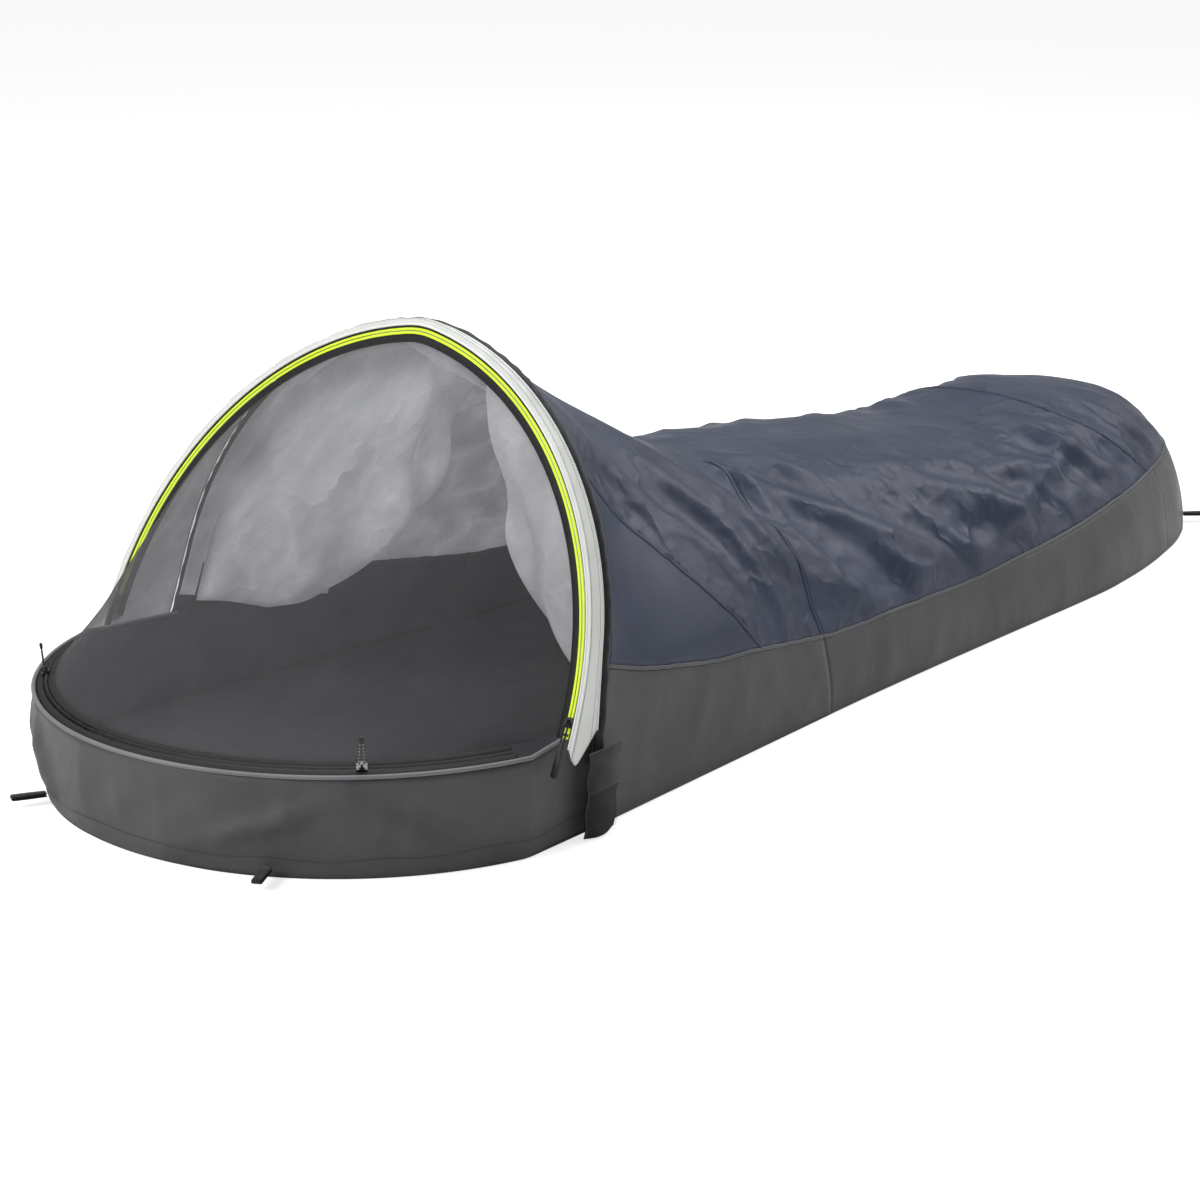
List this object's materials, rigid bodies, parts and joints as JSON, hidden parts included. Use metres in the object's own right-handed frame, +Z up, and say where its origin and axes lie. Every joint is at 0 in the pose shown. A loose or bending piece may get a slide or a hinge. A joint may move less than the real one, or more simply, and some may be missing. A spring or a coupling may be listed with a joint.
{
  "type": "bivy sack",
  "caption": "Hooped bivy sack: waterproof tub and body, clamshell mesh head end with storm flap, folding shock-corded pole hoop, two zips and stake loops.",
  "frame": {"origin": "on the ground, midway between the two feet of the pole hoop", "axes": "+Y along the sack to its foot end, the head end at -Y; +X to the occupant's right when lying on the back; +Z up"},
  "size_m": [0.7764, 2.067, 0.5281],
  "materials": {
    "tub_fabric": "coated woven, satin",
    "shell_fabric": "laminated ripstop, satin",
    "binding": "woven",
    "pole_tube": "anodised",
    "black_plastic": "matte",
    "cord": "braided",
    "black_fabric": "coated woven, matte",
    "zip_coil": "moulded coil",
    "lime_tape": "woven tape",
    "flap_fabric": "coated woven, matte",
    "mesh": "fine netting",
    "black_tape": "woven tape",
    "slider_metal": "enamelled",
    "pull": "soft moulded",
    "webbing": "woven webbing"
  },
  "bodies": {
    "sack": {"floor_panel": "tub_fabric", "head_wall": "tub_fabric", "side_wall_front_right": "tub_fabric", "side_wall_front_left": "tub_fabric", "side_wall_rear_right": "tub_fabric", "side_wall_rear_left": "tub_fabric", "foot_wall": "tub_fabric", "rim_binding": "binding", "hood_panel": "shell_fabric", "hood_gusset_right": "shell_fabric", "hood_gusset_left": "shell_fabric", "body_panel": "shell_fabric", "foot_cap": "shell_fabric", "pole_pocket_right": "black_fabric", "pole_pocket_left": "black_fabric", "rim_zip_coil": "zip_coil", "rim_zip_tape_lower": "black_tape"},
    "hoop": {"pole_section_right": "pole_tube", "pole_section_centre": "pole_tube", "pole_section_left": "pole_tube", "pole_ferrules": "pole_tube", "pole_tips": "black_plastic", "shock_cord": "cord", "pole_sleeve": "black_fabric", "hoop_zip_coil": "zip_coil", "hoop_zip_tape_outer": "lime_tape", "hoop_zip_tape_inner": "lime_tape", "storm_flap": "flap_fabric", "mesh_door": "mesh", "rim_zip_tape_upper": "black_tape", "zip_stops": "slider_metal"},
    "hoop_pull_left": {"hoop_pull_left": "pull"},
    "hoop_pull_right": {"hoop_pull_right": "pull"},
    "hoop_slider_left": {"hoop_slider_left": "slider_metal"},
    "hoop_slider_right": {"hoop_slider_right": "slider_metal"},
    "rim_pull_left": {"rim_pull_left": "cord"},
    "rim_pull_right": {"rim_pull_right": "cord"},
    "rim_slider_left": {"rim_slider_left": "slider_metal"},
    "rim_slider_right": {"rim_slider_right": "slider_metal"},
    "stake_loop_foot_left": {"stake_loop_foot_left": "webbing"},
    "stake_loop_foot_right": {"stake_loop_foot_right": "webbing"},
    "stake_loop_head_left": {"stake_loop_head_left": "webbing"},
    "stake_loop_head_right": {"stake_loop_head_right": "webbing"}
  },
  "joints": [
    {"name": "hoop_fold", "type": "hinge", "parent": "sack", "child": "hoop", "pos_m": [0, 0, 0.0065], "axis": [-1, 0, 0], "range_deg": [0, 32], "deforming": ["hood_panel", "hood_gusset_right", "hood_gusset_left", "side_wall_front_right", "side_wall_front_left", "pole_pocket_right", "pole_pocket_left"]},
    {"name": "hoop_slider_right_travel", "type": "hinge", "parent": "hoop", "child": "hoop_slider_right", "pos_m": [-0.05, -0.055, 0.13], "axis": [0, -0.9135, 0.4067], "range_deg": [0, 76]},
    {"name": "hoop_slider_left_travel", "type": "hinge", "parent": "hoop", "child": "hoop_slider_left", "pos_m": [0.05, -0.055, 0.13], "axis": [0, -0.9135, 0.4067], "range_deg": [-76, 0]},
    {"name": "hoop_pull_right_swing", "type": "hinge", "parent": "hoop_slider_right", "child": "hoop_pull_right", "pos_m": [0.3746, -0.05294, 0.14938], "axis": [-0.999, -0.0177, -0.0398], "range_deg": [0, 110]},
    {"name": "hoop_pull_left_swing", "type": "hinge", "parent": "hoop_slider_left", "child": "hoop_pull_left", "pos_m": [-0.3746, -0.05294, 0.14938], "axis": [-0.999, 0.0177, 0.0398], "range_deg": [0, 110]},
    {"name": "rim_slider_right_travel", "type": "hinge", "parent": "sack", "child": "rim_slider_right", "pos_m": [0, 0, 0.1258], "axis": [0, 0, 1], "range_deg": [-42, 25]},
    {"name": "rim_slider_left_travel", "type": "hinge", "parent": "sack", "child": "rim_slider_left", "pos_m": [0, 0, 0.1258], "axis": [0, 0, 1], "range_deg": [-25, 42]},
    {"name": "rim_pull_right_swing", "type": "hinge", "parent": "rim_slider_right", "child": "rim_pull_right", "pos_m": [0.26314, -0.26314, 0.13124], "axis": [0.7071, 0.7071, 0], "range_deg": [0, 85]},
    {"name": "rim_pull_left_swing", "type": "hinge", "parent": "rim_slider_left", "child": "rim_pull_left", "pos_m": [-0.26314, -0.26314, 0.13124], "axis": [0.7071, -0.7071, 0], "range_deg": [0, 85]},
    {"name": "stake_loop_head_right_swing", "type": "hinge", "parent": "sack", "child": "stake_loop_head_right", "pos_m": [0.18471, -0.33323, 0.016], "axis": [-0.8746, -0.4848, 0], "range_deg": [-8, 75]},
    {"name": "stake_loop_head_left_swing", "type": "hinge", "parent": "sack", "child": "stake_loop_head_left", "pos_m": [-0.18471, -0.33323, 0.016], "axis": [-0.8746, 0.4848, 0], "range_deg": [-8, 75]},
    {"name": "stake_loop_foot_right_swing", "type": "hinge", "parent": "sack", "child": "stake_loop_foot_right", "pos_m": [0.18, 1.647, 0.016], "axis": [0.6947, -0.7193, 0], "range_deg": [-8, 75]},
    {"name": "stake_loop_foot_left_swing", "type": "hinge", "parent": "sack", "child": "stake_loop_foot_left", "pos_m": [-0.18, 1.647, 0.016], "axis": [0.6947, 0.7193, 0], "range_deg": [-8, 75]}
  ]
}
